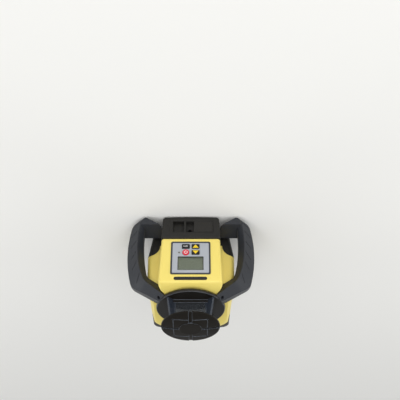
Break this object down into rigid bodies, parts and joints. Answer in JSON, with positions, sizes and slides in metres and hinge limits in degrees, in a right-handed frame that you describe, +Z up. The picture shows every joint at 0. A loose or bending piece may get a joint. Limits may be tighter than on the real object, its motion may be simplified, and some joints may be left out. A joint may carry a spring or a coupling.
{
  "type": "rotary laser level",
  "caption": "Self-levelling rotary laser level: tapered two-tone housing, side grips, key panel with display, pull-out battery unit and a caged glass head round the spinning prism.",
  "frame": {"origin": "mouth of the tripod thread, in the plane of the bottom plate", "axes": "+Z up along the rotor axis, +X to the right-hand grip, -Y out of the key panel"},
  "size_m": [0.2438, 0.1905, 0.2059],
  "materials": {
    "yellow_shell": "fine moulded grain, satin",
    "black_shell": "fine moulded grain",
    "grip": "soft-touch, matt",
    "head_black": "moulded, satin",
    "post": "black, satin",
    "window": "clear, polished",
    "panel_frame": "satin",
    "overlay": "printed film, satin",
    "display_glass": "clear, polished",
    "display": "grey-green",
    "key_black": "matt",
    "key_red": "matt",
    "lamp": "clear lens",
    "badge": "bare, polished",
    "board": "green solder mask",
    "steel": "turned",
    "black_steel": "blackened",
    "alloy": "machined",
    "plate_alloy": "dark anodised",
    "brass": "turned",
    "seal": "matt",
    "pad": "matt, ribbed",
    "cell": "sleeved",
    "case": "moulded",
    "slider": "moulded",
    "winding": "enamelled wire",
    "magnet": "plated",
    "optic": "polished"
  },
  "bodies": {
    "body": {"front_housing": "yellow_shell", "rear_cover": "black_shell", "base_housing": "black_shell", "base_plate": "plate_alloy", "tripod_insert": "brass", "rear_feet": "pad", "right_handle": "grip", "left_handle": "grip", "handle_screws": "black_steel", "housing_screws": "steel", "head_gasket": "seal", "head_base": "head_black", "head_posts": "post", "window_front": "window", "window_back": "window", "window_left": "window", "window_right": "window", "head_cover": "head_black", "cover_screws": "black_steel", "panel_bezel": "panel_frame", "panel_overlay": "overlay", "lcd_window": "display_glass", "lcd_module": "display", "status_led": "lamp", "badge_plate": "badge", "keypad_board": "board", "main_board": "board", "battery_contacts": "brass", "gimbal_yoke": "alloy", "yoke_pins": "steel", "x_actuator": "magnet"},
    "gimbal": {"gimbal_ring": "alloy", "ring_pins": "steel", "y_actuator": "magnet"},
    "tube": {"levelling_tube": "alloy", "laser_module": "brass", "collimator_lens": "optic", "tilt_sensor_plate": "board", "motor_stator": "winding"},
    "rotor": {"rotor_housing": "alloy", "rotor_bearings": "steel", "magnet_ring": "magnet", "encoder_disc": "steel", "prism": "optic"},
    "x_plunger": {"x_plunger": "steel"},
    "y_plunger": {"y_plunger": "steel"},
    "power_key": {"power_key": "key_red"},
    "function_key": {"function_key": "key_black"},
    "up_key": {"up_key": "key_black"},
    "down_key": {"down_key": "key_black"},
    "battery": {"battery_door": "black_shell", "battery_case": "case", "battery_cells": "cell", "charge_jack": "black_steel", "door_gasket": "seal"},
    "lock": {"lock_slider": "slider"}
  },
  "joints": [
    {"name": "ring_tilt", "type": "hinge", "parent": "body", "child": "gimbal", "pos_m": [0, 0, 0.1255], "axis": [1, 0, 0], "range_deg": [-5, 5]},
    {"name": "tube_tilt", "type": "hinge", "parent": "gimbal", "child": "tube", "pos_m": [0, 0, 0.1255], "axis": [0, 1, 0], "range_deg": [-5, 5]},
    {"name": "rotor_spin", "type": "hinge", "parent": "tube", "child": "rotor", "pos_m": [0, 0, 0.15], "axis": [0, 0, 1], "continuous": true},
    {"name": "x_plunger_slide", "type": "slide", "parent": "body", "child": "x_plunger", "axis": [0, 0, 1], "range_m": [-0.0045, 0.0045]},
    {"name": "y_plunger_slide", "type": "slide", "parent": "gimbal", "child": "y_plunger", "axis": [0, 0, -1], "range_m": [-0.0029, 0.0029]},
    {"name": "power_key_press", "type": "slide", "parent": "body", "child": "power_key", "axis": [0, 1, 0], "range_m": [0, 0.0008], "stiffness_N_per_m": 1500},
    {"name": "function_key_press", "type": "slide", "parent": "body", "child": "function_key", "axis": [0, 1, 0], "range_m": [0, 0.0008], "stiffness_N_per_m": 1500},
    {"name": "up_key_press", "type": "slide", "parent": "body", "child": "up_key", "axis": [0, 1, 0], "range_m": [0, 0.0008], "stiffness_N_per_m": 1500},
    {"name": "down_key_press", "type": "slide", "parent": "body", "child": "down_key", "axis": [0, 1, 0], "range_m": [0, 0.0008], "stiffness_N_per_m": 1500},
    {"name": "battery_slide", "type": "slide", "parent": "body", "child": "battery", "axis": [0, -1, 0], "range_m": [0, 0.09]},
    {"name": "lock_slide", "type": "slide", "parent": "battery", "child": "lock", "axis": [1, 0, 0], "range_m": [0, 0.0145]}
  ],
  "couplings": [
    {"joint": "x_plunger_slide", "follows": "ring_tilt", "m_per_rad": 0.048},
    {"joint": "y_plunger_slide", "follows": "tube_tilt", "m_per_rad": 0.03}
  ]
}
